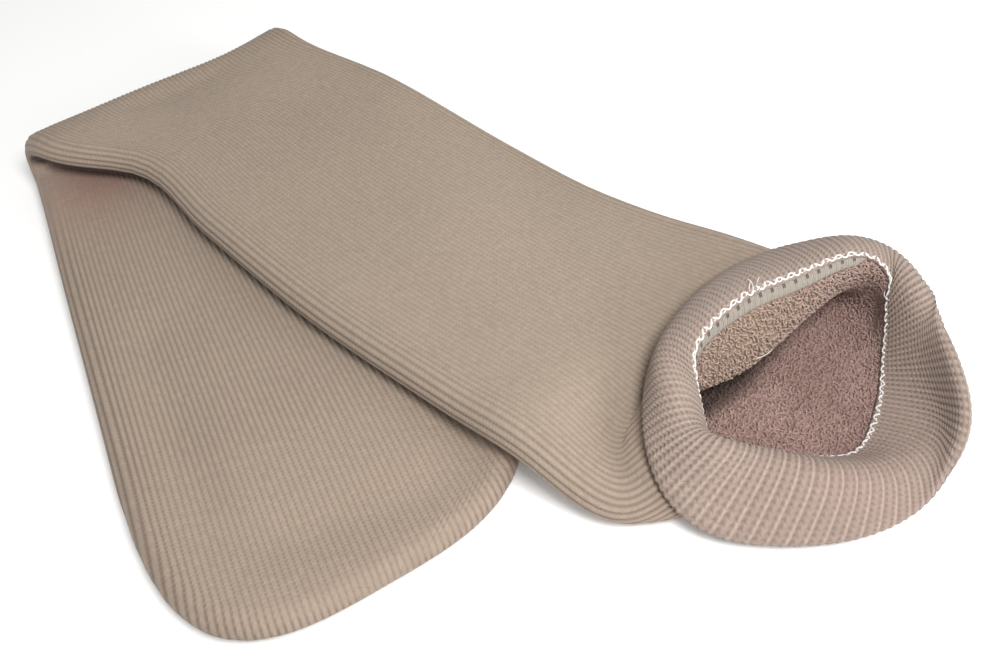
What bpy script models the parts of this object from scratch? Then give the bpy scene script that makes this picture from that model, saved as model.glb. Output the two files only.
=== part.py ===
"""Prosthetic sock: a rib-knit tube with a terry inside and a closed toe, folded over once and laid
on a flat surface, its hem turned in at the mouth, flared and partly rolled back.

The knit is one wall. Its middle surface is a closed ring of points (fraction t, 0 to 1: near edge,
outer face, far edge, inner face) carried along the sock (a, in mm of knit from the toe's tip). The
wall's two faces lie half its thickness to either side of that surface. All tables are in mm.

Three solids make it: the flat leg, the open mouth, which is the same knit carried on past a hairline
gap at the neck, and the turned-in layer of the hem.
"""

import bpy
import numpy as np

MM = 0.001

# Driving sizes, mm
WALL = 3.6  # one layer of terry-lined knit
SEAM_GAP = 0.3  # between the tube and its turned-in hem, and between the leg and the mouth
NECK_CUT = 392.0  # the leg's solid ends and the mouth's begins here
HEM_WALL = 2.6  # the tube's own layer in the hem, where the terry stops
HEM_LAYER = 1.7  # the turned-in layer of the hem
THINNING = 14.0  # the wall thins to HEM_WALL over this length
RIM_ROUND = 2.6  # the folded edge rounds off over this length
RIM_LEFT = 0.6  # thickness left at the very edge
FOLD_TILT = np.radians(14.9)  # the fold's normal against the upper leg
FOLD_LENGTH = 28.0  # knit taken up by the half turn of the fold
FOLD_TIGHTEN = 0.55  # 0 is a plain half circle, 1 bends most at the middle
FOLD_BOW = 2.2  # the fold bows in by this much towards its far edge
FOLD_SAG = 5.5  # and its top sinks this much half way across
LOWER_REACH = 211.8  # from the fold's middle to the toe's tip, seen from above
TOE_ROUND = 68.7  # length over which the toe rounds off
TOE_POWER = 3.25  # exponent of the toe's outline, 2 is an ellipse
TOE_SKEW = 0.15  # the toe's far side falls this much short for each mm across
LEG_GAP = 0.8  # between the lower leg and the upper one lying on it
DRAPE = 80.0  # the upper leg comes down to the surface over this width
BED_MIDDLE = 7.0  # middle and half width of the part of the lower leg that carries the upper one
BED_HALF = 59.0
STAND_OFF = 4.8  # from the fold's outer face to the middle of the tube

# Sections of the flattened tube, mm. s: along the knit from the fold, minus towards the toe.
# near, far: its two edges; half: half thickness; lift: extra height of the top at the far edge.
LEG_TABLE = """
   s   near    far  half  lift
-300  -51.3   70.6   3.6     0
-150  -50.4   61.7   3.6     0
 -80  -50.8   53.0   3.6     0
 -25  -51.2   49.8   3.3     0
   0  -52.0   49.6   3.2     0
  28  -38.0   44.0   3.5     0
  70  -43.8   47.5   3.6     0
 125  -50.8   49.2   3.6     0
 165  -52.5   50.5   3.8     2
 185  -53.0   52.5   4.2     4
 200  -53.0   54.5   4.4     6
 300  -53.0   54.5   4.4     6
"""

# Rings of the mouth: the wall's middle at fourteen places round the opening, x y z in mm, x along the
# upper leg from the fold. neck: where the tube stops lying flat; lobe: the terry bulging in the
# mouth; throat: the stitch line of the hem; roll: half way up the hem; rim: the hem's folded edge.
MOUTH_TABLE = """
place      neck          lobe          throat        roll          rim
near      231 -51  6    242 -37  7    244 -20 11    240 -24 21    234 -34 14
near_up   229 -47 10    233 -33 11    236 -15 18    230 -18 26    225 -21 16
near_top  220 -30 10    221 -16 12    227  -4 28    221  -7 27    219  -5 17
top       223   0 11    235  13 15    231  16 34    222  18 30    217  23 19
far_top   230  24 12    243  35 20    240  32 35    232  38 31    226  46 22
corner    237  42 16    250  50 25    252  51 36    246  54 35    242  62 23
far_high  241  56 18    257  56 23    261  54 30    258  59 33    254  67 22
far       241  58 11    264  53 13    266  51 21    268  54 31    268  62 24
far_low   238  44  5    263  43  5    271  43  9    281  43 17    288  41 28
right     232  24  2    260  24  2    276  27  4    293  27 11    301  25 21
front     228   4  2    258   6  2    278   8  3    289   7 11    301   7  7
bottom    226 -14  2    256  -5  2    269  -1  3    274 -10 17    288 -15  3
near_low  228 -36  3    252 -21  3    260  -9  6    254 -19 19    257 -37  4
near_down 230 -48  3    248 -34  4    253 -17  9    247 -23 22    243 -38  9
"""
# Flattened rings before the mouth: s, and how much further along the far edge is
NECK_RINGS = ((150.0, 0.0), (160.0, 0.0), (182.0, 3.0), (206.0, 6.0))

SOFTEN = 2.6  # the mouth's turns are rounded over about this length
TUBE_ROUND = 212.0  # the tube's girth

# Mesh density
AROUND = 40
EDGE_CROWDING = 0.72  # 0 spaces the points evenly, towards 1 crowds them at the two edges
TOE_ROWS = (0.35, 1.4, 3.2, 6.0, 12.0, 22.0, 36.0, 52.0)  # mm from the toe's tip
LEG_STEP = 21.5
FOLD_STEP = 2.9
SLANT_FULL = 20.0  # rows run along the fold up to this far from it, and square across from SLANT_ENDS
SLANT_ENDS = 110.0
SLANT_REACH = 50.0  # the tube's edges are this far from its middle line at the fold
MOUTH_STEP = 7.0
HEM_STEP = 3.2

KNIT_BEIGE = (0.44, 0.34, 0.25)
HEM_BEIGE = (0.49, 0.38, 0.29)


def read_table(text):
    """Column names, row names and numbers of a table whose first column may be words."""
    rows = [line.split() for line in text.strip().splitlines()]
    return rows[0], rows[1:]


def leg_columns():
    names, rows = read_table(LEG_TABLE)
    values = np.array(rows, dtype=float)
    return {name: values[:, i] for i, name in enumerate(names)}


def mouth_rings():
    """Ring name to its fourteen points."""
    names, rows = read_table(MOUTH_TABLE)
    values = np.array([row[1:] for row in rows], dtype=float).reshape(len(rows), len(names) - 1, 3)
    return {name: values[:, i] for i, name in enumerate(names[1:])}


LEG = leg_columns()
RINGS = mouth_rings()
COS_TILT, SIN_TILT = np.cos(FOLD_TILT), np.sin(FOLD_TILT)
ACROSS_FOLD = np.array([COS_TILT, -SIN_TILT])
ALONG_FOLD = np.array([SIN_TILT, COS_TILT])


def smooth(x):
    """0 below 0, 1 above 1, and 3x^2 - 2x^3 between."""
    x = np.clip(x, 0, 1)
    return x * x * (3 - 2 * x)


def slopes(x, y):
    """Slopes for a cubic through the points: weighted means of the chords either side."""
    h = np.diff(x).reshape((-1,) + (1,) * (y.ndim - 1))
    chord = np.diff(y, axis=0) / h
    inner = (h[1:] * chord[:-1] + h[:-1] * chord[1:]) / (h[1:] + h[:-1])
    return np.concatenate([chord[:1], inner, chord[-1:]])


def through(x, knots, y):
    """Cubic Hermite curve through y at the knots, read at x. y may be rows of anything."""
    m = slopes(knots, y)
    i = np.clip(np.searchsorted(knots, x, side="right") - 1, 0, len(knots) - 2)
    shape = (-1,) + (1,) * (y.ndim - 1)
    h = (knots[i + 1] - knots[i]).reshape(shape)
    f = (x - knots[i]).reshape(shape) / h
    ends = (2 * f**3 - 3 * f**2 + 1) * y[i] + (3 * f**2 - 2 * f**3) * y[i + 1]
    return ends + h * ((f**3 - 2 * f**2 + f) * m[i] + (f**3 - f**2) * m[i + 1])


# --- the fold: a half turn whose curvature swells towards its middle

TURN_U = np.linspace(-FOLD_LENGTH / 2, FOLD_LENGTH / 2, 801)
TURN_SHARE = TURN_U / FOLD_LENGTH + 0.5
TURN = np.pi * (TURN_SHARE - FOLD_TIGHTEN * np.sin(2 * np.pi * TURN_SHARE) / (2 * np.pi))


def running_sum(values, step):
    """Trapezoidal integral from the first value on."""
    return np.concatenate([[0], np.cumsum((values[1:] + values[:-1]) / 2 * step)])


TURN_X = running_sum(-np.cos(TURN), TURN_U[1] - TURN_U[0])
TURN_X -= TURN_X.min()
TURN_Z = running_sum(np.sin(TURN), TURN_U[1] - TURN_U[0])
FOLD_RISE = TURN_Z[-1]
FOLD_TAKES = FOLD_LENGTH / 2 - TURN_X[-1]  # length by which the turn shortens each leg
TOE_S = LOWER_REACH + FOLD_TAKES / COS_TILT
LIE = 2 * (LEG["half"][0] + WALL / 2) + LEG_GAP  # the lower leg's thickness and the gap


def toe_inset(s, w, half):
    """Distance inside the outline of the closed end, |w/half|^p + |b/TOE_ROUND|^p = 1."""
    b = np.maximum(s - (TOE_S - TOE_ROUND), 0) / TOE_ROUND
    a = np.abs(w) / half
    p = TOE_POWER
    size = np.maximum((a**p + b**p) ** (1 / p), 1e-6)
    steep = np.hypot((a / size) ** (p - 1) / half, (b / size) ** (p - 1) / TOE_ROUND)
    return (1 - size) / (steep + 1e-9)


def flat_section(t, half_width, half):
    """w and n round a flat loop with half-circle edges, evenly along each of its two faces."""
    arc = np.pi * half / 2
    side = np.where(t < 0.5, 1.0, -1.0)
    run = (2 * t % 1) * (2 * (half_width - half) + 2 * arc)
    flat = half_width - half
    first = np.clip(run / half, 0, np.pi / 2)
    last = np.clip((run - arc - 2 * flat) / half, 0, np.pi / 2)
    w = -flat - half * np.cos(first) + np.clip(run - arc, 0, 2 * flat) + half * np.sin(last)
    w = np.where(run > arc, w + half * np.cos(first), w)
    n = half * np.sin(first) * np.cos(last)
    return w * side, n * side


def lay(s, w, n, half):
    """Strip place (s along, w across, n out) to x y z on the folded sock."""
    u = s * COS_TILT - w * SIN_TILT
    v = s * SIN_TILT + w * COS_TILT
    inside = np.clip(u, -FOLD_LENGTH / 2, FOLD_LENGTH / 2)
    turn = np.interp(inside, TURN_U, TURN)
    away = np.interp(inside, TURN_U, TURN_X) + np.abs(u - inside)
    past = np.maximum(u - FOLD_LENGTH / 2, 0)
    bow = FOLD_BOW * np.exp(-(((v - 24) / 20) ** 2) - (u / 30) ** 2)
    plan = v[..., None] * ALONG_FOLD + (away + bow + STAND_OFF - np.sin(turn) * n)[..., None] * ACROSS_FOLD
    # where the upper leg crosses the lower one it lies on it, and beyond that it comes down
    back = plan @ ACROSS_FOLD - STAND_OFF + FOLD_TAKES
    across = back * SIN_TILT + v * COS_TILT - BED_MIDDLE
    over = toe_inset(back * COS_TILT - v * SIN_TILT, across, BED_HALF)
    hover = 40 * np.exp(-past / 30)
    carried = smooth((over + WALL / 2 + hover + DRAPE - 8) / DRAPE)
    rise = (LIE + (FOLD_RISE - LIE) * np.exp(-past / 28)) * np.where(past > 0, 1, 0)
    rise = np.where(past > 0, rise, np.interp(inside, TURN_U, TURN_Z))
    upper = smooth((u / FOLD_LENGTH - 0.1) / 0.4)
    sag = FOLD_SAG * np.exp(-(((u - 4) / 24) ** 2)) * np.cos(np.clip(v / 52, -1, 1) * np.pi / 2) ** 2
    z = half + WALL / 2 + rise * (1 - upper + upper * carried) - sag * upper - np.cos(turn) * n
    return np.concatenate([plan, z[..., None]], axis=-1)


def leg_ring(s, t, lead=0.0):
    """Rings of the flattened tube at the places s, points at the fractions t."""
    slant = np.tan(FOLD_TILT) * smooth((SLANT_ENDS - np.abs(s)) / (SLANT_ENDS - SLANT_FULL))
    near = through(s - slant * SLANT_REACH, LEG["s"], LEG["near"])[:, None]
    far = through(s + slant * SLANT_REACH, LEG["s"], LEG["far"])[:, None]
    half, lift = (through(s, LEG["s"], LEG[k])[:, None] for k in ("half", "lift"))
    half_width = (far - near) / 2
    w, n = flat_section(t[None, :], half_width, half)
    top = smooth((w / half_width + 0.4) / 1.4) * (n + half) / (2 * half)
    # the closed end: narrower rings, thinning to nothing at the outline
    b = np.clip((-s - (TOE_S - TOE_ROUND)) / TOE_ROUND, 0, 1)[:, None]
    w = w * (1 - b**TOE_POWER) ** (1 / TOE_POWER)
    inset = np.clip(toe_inset(-s[:, None] + 0 * w, w, half_width) / half, 0, 1)
    n = np.where(b > 0, np.sign(n) * half * np.sqrt(1 - (1 - inset) ** 2), n) + lift * top
    toward_toe = smooth(1 - (TOE_S + s[:, None]) / TOE_ROUND)
    lead = lead / half_width + TOE_SKEW * toward_toe + slant[:, None]
    return lay(s[:, None] + lead * w, w + (far + near) / 2, n, half)


def mouth_ring(points, t):
    """Closed curve through a ring's points, read evenly along each half."""
    count = len(points)
    wrapped = np.concatenate([points[-3:], points, points[:4]])
    chords = np.sqrt(np.linalg.norm(np.diff(wrapped, axis=0), axis=1))
    knots = np.concatenate([[0], np.cumsum(chords)])
    fine = np.linspace(0, 1, 60, endpoint=False)
    starts = knots[3 : 3 + count]
    x = np.append((starts[:, None] + fine * chords[3 : 3 + count, None]).ravel(), knots[3 + count])
    curve = through(x, knots, wrapped)
    middle = len(fine) * count // 2
    out = np.empty((len(t), 3))
    for half, chosen in ((curve[: middle + 1], t < 0.5), (curve[middle:], t >= 0.5)):
        length = running_length(half)
        run = (2 * t[chosen] % 1) * length[-1]
        out[chosen] = np.stack([np.interp(run, length, half[:, k]) for k in range(3)], axis=-1)
    return out


def running_length(curve):
    return np.concatenate([[0], np.cumsum(np.linalg.norm(np.diff(curve, axis=0), axis=1))])


def softened(read, x, width):
    """A curve's weighted mean over two widths either side, which rounds its tight turns."""
    weights = ((-2, 1 / 16), (-1, 4 / 16), (0, 6 / 16), (1, 4 / 16), (2, 1 / 16))
    return sum(weight * read(x + step * width) for step, weight in weights)


def mouth_controls(t):
    """The rings that the mouth is drawn through, and their places along the knit."""
    rings = [leg_ring(np.array([s]), t, lead)[0] for s, lead in NECK_RINGS]
    for name in ("neck", "lobe", "throat", "roll", "rim"):
        rings.append(softened(lambda x: mouth_ring(RINGS[name], x % 1), t, SOFTEN / TUBE_ROUND))
    rings = np.array(rings)
    steps = np.linalg.norm(np.diff(rings, axis=0), axis=2).mean(axis=1)
    places = np.concatenate([[0], np.cumsum(steps)])
    return rings, places - places[1] + TOE_S + NECK_RINGS[1][0]


MEASURED_T = np.arange(240) / 240
MOUTH_PLACES = mouth_controls(MEASURED_T)[1]
MOUTH_STARTS, THROAT, RIM = MOUTH_PLACES[1], MOUTH_PLACES[-3], MOUTH_PLACES[-1]


def middle(a, t):
    """The wall's middle surface: rows at a mm from the toe's tip, points at the fractions t."""
    legs = leg_ring(a[a < MOUTH_STARTS] - TOE_S, t)
    rings, _ = mouth_controls(t)

    def read(x):
        """Through the rings, and past the rim straight on as the mirror of what lies before it."""
        value = through(np.minimum(x, 2 * RIM - x), MOUTH_PLACES, rings)
        return np.where((x > RIM)[:, None, None], 2 * rings[-1] - value, value)

    mouth = softened(read, a[a >= MOUTH_STARTS], SOFTEN)
    mouth[..., 2] = np.maximum(mouth[..., 2], WALL / 2)
    return np.concatenate([legs, mouth])


def half_wall(a):
    """Half the tube's thickness, a column for the places a."""
    return (WALL - (WALL - HEM_WALL) * smooth((a - THROAT + THINNING) / THINNING))[:, None, None] / 2


def rim_rounding(a):
    """1 away from the folded edge, falling along a quarter circle to 0 at it."""
    share = np.clip((a - RIM + RIM_ROUND) / RIM_ROUND, 0, 1)
    return np.sqrt(1 - share**2)[:, None, None]


def surface(a, t, offset):
    """The middle surface moved along its outward normal, taken from small steps each way."""
    da, dt = 0.05, 2e-4
    along = middle(a + da, t) - middle(a - da, t)
    around = middle(a, (t + dt) % 1) - middle(a, (t - dt) % 1)
    normal = np.cross(along, around)
    normal /= np.linalg.norm(normal, axis=-1, keepdims=True)
    points = middle(a, t) + offset * normal
    points[..., 2] = np.maximum(points[..., 2], 0)
    return points


def fractions(count):
    """Fractions round the ring, crowded at the two edges of the flattened tube."""
    even = np.arange(count) / count
    return even - EDGE_CROWDING * np.sin(4 * np.pi * even) / (4 * np.pi)


def rows_between(start, stop, step):
    """Evenly spaced places with both ends."""
    return np.linspace(start, stop, max(2, int(round((stop - start) / step)) + 1))


def hem_rows():
    """Places across the hem, closer where its edge rounds off."""
    flat = rows_between(THROAT, RIM - RIM_ROUND, HEM_STEP)
    return np.append(flat, [RIM - 0.35 * RIM_ROUND, RIM - 0.02 * RIM_ROUND])


def leg_rows():
    turn = FOLD_LENGTH / 2 / COS_TILT + 2
    parts = [
        np.array(TOE_ROWS),
        rows_between(TOE_ROUND, TOE_S - turn, LEG_STEP),
        rows_between(TOE_S - turn, TOE_S + turn, FOLD_STEP)[1:],
        rows_between(TOE_S + turn, MOUTH_STARTS, LEG_STEP)[1:],
        rows_between(MOUTH_STARTS, NECK_CUT - SEAM_GAP / 2, MOUTH_STEP)[1:],
    ]
    return np.concatenate(parts)


def mouth_rows():
    return np.concatenate([rows_between(NECK_CUT + SEAM_GAP / 2, THROAT, MOUTH_STEP), hem_rows()[1:]])


def strip_faces(first, second, inward):
    """Triangles between two rings of point numbers, every cell cut the same way."""
    a, b = first, second
    c, d = np.roll(second, -1), np.roll(first, -1)
    faces = np.concatenate([np.stack([a, b, c], axis=-1), np.stack([a, c, d], axis=-1)])
    return faces[:, ::-1] if inward else faces


def grid_faces(rings, inward=False):
    """Triangles through all the rings in turn."""
    return np.concatenate([strip_faces(a, b, inward) for a, b in zip(rings[:-1], rings[1:])])


def fan_faces(tip, ring, inward=False):
    """Triangles from one point to a ring."""
    faces = np.stack([np.full(len(ring), tip), ring, np.roll(ring, -1)], axis=-1)
    return faces[:, ::-1] if inward else faces


def knit_wall(a, t):
    """The wall's outer and inner points at the rows a, its outer edge rounded off at the rim."""
    half = half_wall(a)
    outer = surface(a, t, (2 * half - RIM_LEFT) * rim_rounding(a) + RIM_LEFT - half)
    return outer, surface(a, t, -half)


def knit_leg(t):
    """The flat tube, closed at the toe and open at the neck."""
    a = leg_rows()
    outer, inner = knit_wall(a, t)
    tip = middle(np.array([1e-3]), t)[0].mean(axis=0)
    forward = np.append(ACROSS_FOLD * COS_TILT - ALONG_FOLD * SIN_TILT, 0)
    tips = np.array([tip + forward * WALL / 2, tip - forward * WALL / 2])
    points = np.concatenate([outer.reshape(-1, 3), inner.reshape(-1, 3), tips])
    out_rings, in_rings = np.arange(len(points) - 2).reshape(2, len(a), len(t))
    faces = [
        grid_faces(out_rings),
        grid_faces(in_rings, inward=True),
        strip_faces(out_rings[-1], in_rings[-1], inward=False),
        fan_faces(len(points) - 2, out_rings[0]),
        fan_faces(len(points) - 1, in_rings[0], inward=True),
    ]
    return points, np.concatenate(faces)


def open_tube(outer, inner):
    """A wall between two grids of rings, closed along both its ends."""
    points = np.concatenate([outer.reshape(-1, 3), inner.reshape(-1, 3)])
    out_rings, in_rings = np.arange(len(points)).reshape(2, *outer.shape[:2])
    faces = [
        grid_faces(out_rings),
        grid_faces(in_rings, inward=True),
        strip_faces(out_rings[-1], in_rings[-1], inward=False),
        strip_faces(out_rings[0], in_rings[0], inward=True),
    ]
    return points, np.concatenate(faces)


def knit_mouth(t):
    """The same knit from the neck on, opening out to the rim."""
    return open_tube(*knit_wall(mouth_rows(), t))


def hem_band(t):
    """The hem's turned-in layer, from the rim back to the stitch line."""
    a = hem_rows()
    depth = half_wall(a) + SEAM_GAP
    face = surface(a, t, -depth - RIM_LEFT - (HEM_LAYER - RIM_LEFT) * rim_rounding(a))
    return open_tube(surface(a, t, -depth), face)


def fabric(name, colour):
    """Matt cotton knit."""
    material = bpy.data.materials.new(name)
    material.use_nodes = True
    shader = material.node_tree.nodes["Principled BSDF"]
    shader.inputs["Base Color"].default_value = (*colour, 1)
    shader.inputs["Roughness"].default_value = 0.95
    shader.inputs["Metallic"].default_value = 0.0
    return material


def add_piece(name, points, faces, material):
    mesh = bpy.data.meshes.new(name)
    mesh.from_pydata(points.tolist(), [], faces.tolist())
    mesh.materials.append(material)
    mesh.shade_smooth()
    piece = bpy.data.objects.new(name, mesh)
    bpy.context.collection.objects.link(piece)
    return piece


def main():
    for old in list(bpy.data.objects):
        bpy.data.objects.remove(old, do_unlink=True)
    t = fractions(AROUND)
    knit = fabric("beige_rib_knit", KNIT_BEIGE)
    pieces = {
        "knit_leg": (*knit_leg(t), knit),
        "knit_mouth": (*knit_mouth(t), knit),
        "hem_band": (*hem_band(t), fabric("hem_rib_knit", HEM_BEIGE)),
    }
    points = np.concatenate([piece[0] for piece in pieces.values()])
    origin = (points.min(axis=0) + points.max(axis=0)) / 2 * np.array([1, 1, 0])
    for name, (places, faces, material) in pieces.items():
        add_piece(name, (places - origin) * MM, faces, material)


main()
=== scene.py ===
"""Prosthetic sock, dressed: rib knit with real ribs, terry loops in the mouth, and the hem's white
zigzag seam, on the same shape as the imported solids.

The knit is one wall. Its middle surface is a closed ring of points (fraction t, 0 to 1: near edge,
outer face, far edge, inner face) carried along the sock (a, in mm of knit from the toe's tip).
Every piece is that surface moved out or in along its normal. Sizes are in mm until a mesh is made.
"""

from functools import partial

import bpy
import numpy as np
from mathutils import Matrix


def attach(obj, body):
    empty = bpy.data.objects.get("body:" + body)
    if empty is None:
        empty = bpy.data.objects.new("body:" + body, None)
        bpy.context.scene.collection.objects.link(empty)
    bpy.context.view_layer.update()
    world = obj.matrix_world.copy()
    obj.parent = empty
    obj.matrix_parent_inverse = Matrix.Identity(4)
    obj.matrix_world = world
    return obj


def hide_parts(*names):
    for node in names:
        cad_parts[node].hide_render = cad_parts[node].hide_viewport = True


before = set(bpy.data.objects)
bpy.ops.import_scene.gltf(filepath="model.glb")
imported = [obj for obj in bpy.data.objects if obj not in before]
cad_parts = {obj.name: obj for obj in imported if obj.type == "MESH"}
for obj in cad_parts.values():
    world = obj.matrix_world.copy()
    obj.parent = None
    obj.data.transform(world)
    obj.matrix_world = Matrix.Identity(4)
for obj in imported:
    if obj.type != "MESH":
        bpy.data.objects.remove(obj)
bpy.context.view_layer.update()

MM = 0.001
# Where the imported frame's origin lies in the plan below
FRAME_CENTRE = np.array([144.3411, -35.7998, 0.0])

# --- the sock's shape, the same sizes as its solids

WALL = 3.6
HEM_WALL = 2.6
HEM_LAYER = 1.7
THINNING = 14.0
RIM_ROUND = 2.6
RIM_LEFT = 0.6
FOLD_TILT = np.radians(14.9)
FOLD_LENGTH = 28.0
FOLD_TIGHTEN = 0.55
FOLD_BOW = 2.2
BOW_AT, BOW_WIDTH, BOW_REACH = 24, 20, 30
FOLD_SAG = 5.5
SAG_AT, SAG_REACH, SAG_HALF = 4, 24, 52
LOWER_REACH = 211.8
TOE_ROUND = 68.7
TOE_POWER = 3.25
TOE_SKEW = 0.15
LEG_GAP = 0.8
DRAPE = 80.0
CARRIED_FROM = 8  # the upper leg is fully carried this far inside the lower leg's outline
HOVER, HOVER_REACH = 40, 30
SETTLE = 28
BED_MIDDLE = 7.0
BED_HALF = 59.0
STAND_OFF = 4.8
SLANT_FULL = 20.0
SLANT_ENDS = 110.0
SLANT_REACH = 50.0
SOFTEN = 2.6
TUBE_ROUND = 212.0
MOUTH_ROUND = 226.0

# Sections of the flattened tube. s: along the knit from the fold, minus towards the toe.
LEG_TABLE = """
   s   near    far  half  lift
-300  -51.3   70.6   3.6     0
-150  -50.4   61.7   3.6     0
 -80  -50.8   53.0   3.6     0
 -25  -51.2   49.8   3.3     0
   0  -52.0   49.6   3.2     0
  28  -38.0   44.0   3.5     0
  70  -43.8   47.5   3.6     0
 125  -50.8   49.2   3.6     0
 165  -52.5   50.5   3.8     2
 185  -53.0   52.5   4.2     4
 200  -53.0   54.5   4.4     6
 300  -53.0   54.5   4.4     6
"""

# Rings of the mouth: the wall's middle at fourteen places round the opening, x y z
MOUTH_TABLE = """
place      neck          lobe          throat        roll          rim
near      231 -51  6    242 -37  7    244 -20 11    240 -24 21    234 -34 14
near_up   229 -47 10    233 -33 11    236 -15 18    230 -18 26    225 -21 16
near_top  220 -30 10    221 -16 12    227  -4 28    221  -7 27    219  -5 17
top       223   0 11    235  13 15    231  16 34    222  18 30    217  23 19
far_top   230  24 12    243  35 20    240  32 35    232  38 31    226  46 22
corner    237  42 16    250  50 25    252  51 36    246  54 35    242  62 23
far_high  241  56 18    257  56 23    261  54 30    258  59 33    254  67 22
far       241  58 11    264  53 13    266  51 21    268  54 31    268  62 24
far_low   238  44  5    263  43  5    271  43  9    281  43 17    288  41 28
right     232  24  2    260  24  2    276  27  4    293  27 11    301  25 21
front     228   4  2    258   6  2    278   8  3    289   7 11    301   7  7
bottom    226 -14  2    256  -5  2    269  -1  3    274 -10 17    288 -15  3
near_low  228 -36  3    252 -21  3    260  -9  6    254 -19 19    257 -37  4
near_down 230 -48  3    248 -34  4    253 -17  9    247 -23 22    243 -38  9
"""
NECK_RINGS = ((150.0, 0.0), (160.0, 0.0), (182.0, 3.0), (206.0, 6.0))

# --- knit, terry and thread, mm

RIBS = 128  # ribs all round
PER_RIB = 6  # mesh columns to a rib
COURSE = 1.25  # from one row of stitches to the next
RIB_FLAT = 0.34  # depth of the ribs where the tube lies flat
RIB_BENT = 0.52  # and where it bends round an edge, which opens them
RIB_HEM = 0.50
RIB_MIDDLE = 0.6  # share of a rib's height that stands below the solid's face
NECK_CUT = 392.0  # the leg's mesh and the mouth's mesh meet here
TERRY_FROM = 446.0  # loops are modelled from here to the hem
LOOP_SPACING = 0.98
LOOP_RADIUS = 0.50
YARN_RADIUS = 0.36
LOOP_LIFT = 0.1  # the middle of a loop's arc stands this far off the ground
STITCHES = 58  # zigzag stitches round the hem
THREAD_RADIUS = 0.31
THREAD_DEPTH = 1.2  # the zigzag lies this far off the tube's inner face, and its lift more
LOOSE_RADIUS = 0.11  # an unravelled ply
HEM_CLEAR = 0.05  # the turned-in layer's back lies this far off the tube's inner face
LAST_ROW = 0.02  # the last row of mesh stops this short of the rim
UPPER_LIP = 0.22  # the fraction at the middle of the mouth's upper wall
LOWER_LIP = 0.82
BAND = 3.1  # width of the overlocked edge that shows below the zigzag
BAND_T = (0.045, 0.41)  # and its reach round the mouth

# Loose ends of sewing thread. in: mm in from the stitch line; under: mm below the wall's middle;
# then how far the end reaches along the knit, around the mouth and away from the cloth.
LOOSE_ENDS = """
    t     in  under  along  around  away
0.236   -1.2    3.4    2.8     1.4   1.2
0.241   -1.0    3.4    3.2    -0.9   2.0
0.247   -1.4    3.4    1.6     1.2   2.8
0.252   -1.1    3.4   -1.8    -1.5   1.6
0.285   15.0    5.0   -2.2    -7.0   0.7
0.465    1.0    3.0   -1.6     2.4   1.2
"""
TERRY_BULGE = 3.6  # the terry stands out this far at most, under the upper lip
TOE_DIP, DIP_INSET, DIP_WIDTH = 1.7, 18, 9  # a dip just inside the closed end's rounded edge
# The terry of the upper and the lower wall gets painted shade where the other wall is nearer
CREVICE = (8, 11.5)


def read_table(text):
    rows = [line.split() for line in text.strip().splitlines()]
    return rows[0], rows[1:]


def columns(text, labels=0, cell=()):
    """A table's columns by name, after so many columns of labels. cell: the shape of an entry."""
    names, rows = read_table(text)
    values = np.array([row[labels:] for row in rows], dtype=float)
    values = values.reshape(len(rows), len(names) - labels, *cell)
    return {name: values[:, i] for i, name in enumerate(names[labels:])}


LEG = columns(LEG_TABLE)
RINGS = columns(MOUTH_TABLE, labels=1, cell=(3,))
COS_TILT, SIN_TILT = np.cos(FOLD_TILT), np.sin(FOLD_TILT)
ACROSS_FOLD = np.array([COS_TILT, -SIN_TILT])
ALONG_FOLD = np.array([SIN_TILT, COS_TILT])


def smooth(x):
    """0 below 0, 1 above 1, and 3x^2 - 2x^3 between."""
    x = np.clip(x, 0, 1)
    return x * x * (3 - 2 * x)


def bell(x, place, width):
    """1 at the place, falling off on both sides: exp(-((x - place) / width)^2)."""
    return np.exp(-(((x - place) / width) ** 2))


def unit(vectors):
    return vectors / np.linalg.norm(vectors, axis=-1, keepdims=True)


def on_circle(first, second, angle):
    """first cos(angle) + second sin(angle), at every angle for every pair of vectors."""
    cos, sin = np.cos(angle)[:, None], np.sin(angle)[:, None]
    return first[..., None, :] * cos + second[..., None, :] * sin


def blunt(x, power):
    """|x|^power with the sign of x, which squares off a sine or cosine."""
    return np.sign(x) * np.abs(x) ** power


def slopes(x, y):
    """Slopes for a cubic through the points: weighted means of the chords either side."""
    h = np.diff(x).reshape((-1,) + (1,) * (y.ndim - 1))
    chord = np.diff(y, axis=0) / h
    inner = (h[1:] * chord[:-1] + h[:-1] * chord[1:]) / (h[1:] + h[:-1])
    return np.concatenate([chord[:1], inner, chord[-1:]])


def through(x, knots, y):
    """Cubic Hermite curve through y at the knots, read at x. y may be rows of anything."""
    m = slopes(knots, y)
    i = np.clip(np.searchsorted(knots, x, side="right") - 1, 0, len(knots) - 2)
    shape = (-1,) + (1,) * (y.ndim - 1)
    h = (knots[i + 1] - knots[i]).reshape(shape)
    f = (x - knots[i]).reshape(shape) / h
    ends = (2 * f**3 - 3 * f**2 + 1) * y[i] + (3 * f**2 - 2 * f**3) * y[i + 1]
    return ends + h * ((f**3 - 2 * f**2 + f) * m[i] + (f**3 - f**2) * m[i + 1])


TURN_U = np.linspace(-FOLD_LENGTH / 2, FOLD_LENGTH / 2, 801)
TURN_SHARE = TURN_U / FOLD_LENGTH + 0.5
TURN = np.pi * (TURN_SHARE - FOLD_TIGHTEN * np.sin(2 * np.pi * TURN_SHARE) / (2 * np.pi))


def running(steps):
    """The running total, from 0."""
    return np.concatenate([[0], np.cumsum(steps)])


def area_under(values):
    """The running area under values read at TURN_U."""
    return running((values[1:] + values[:-1]) / 2 * (TURN_U[1] - TURN_U[0]))


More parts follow.
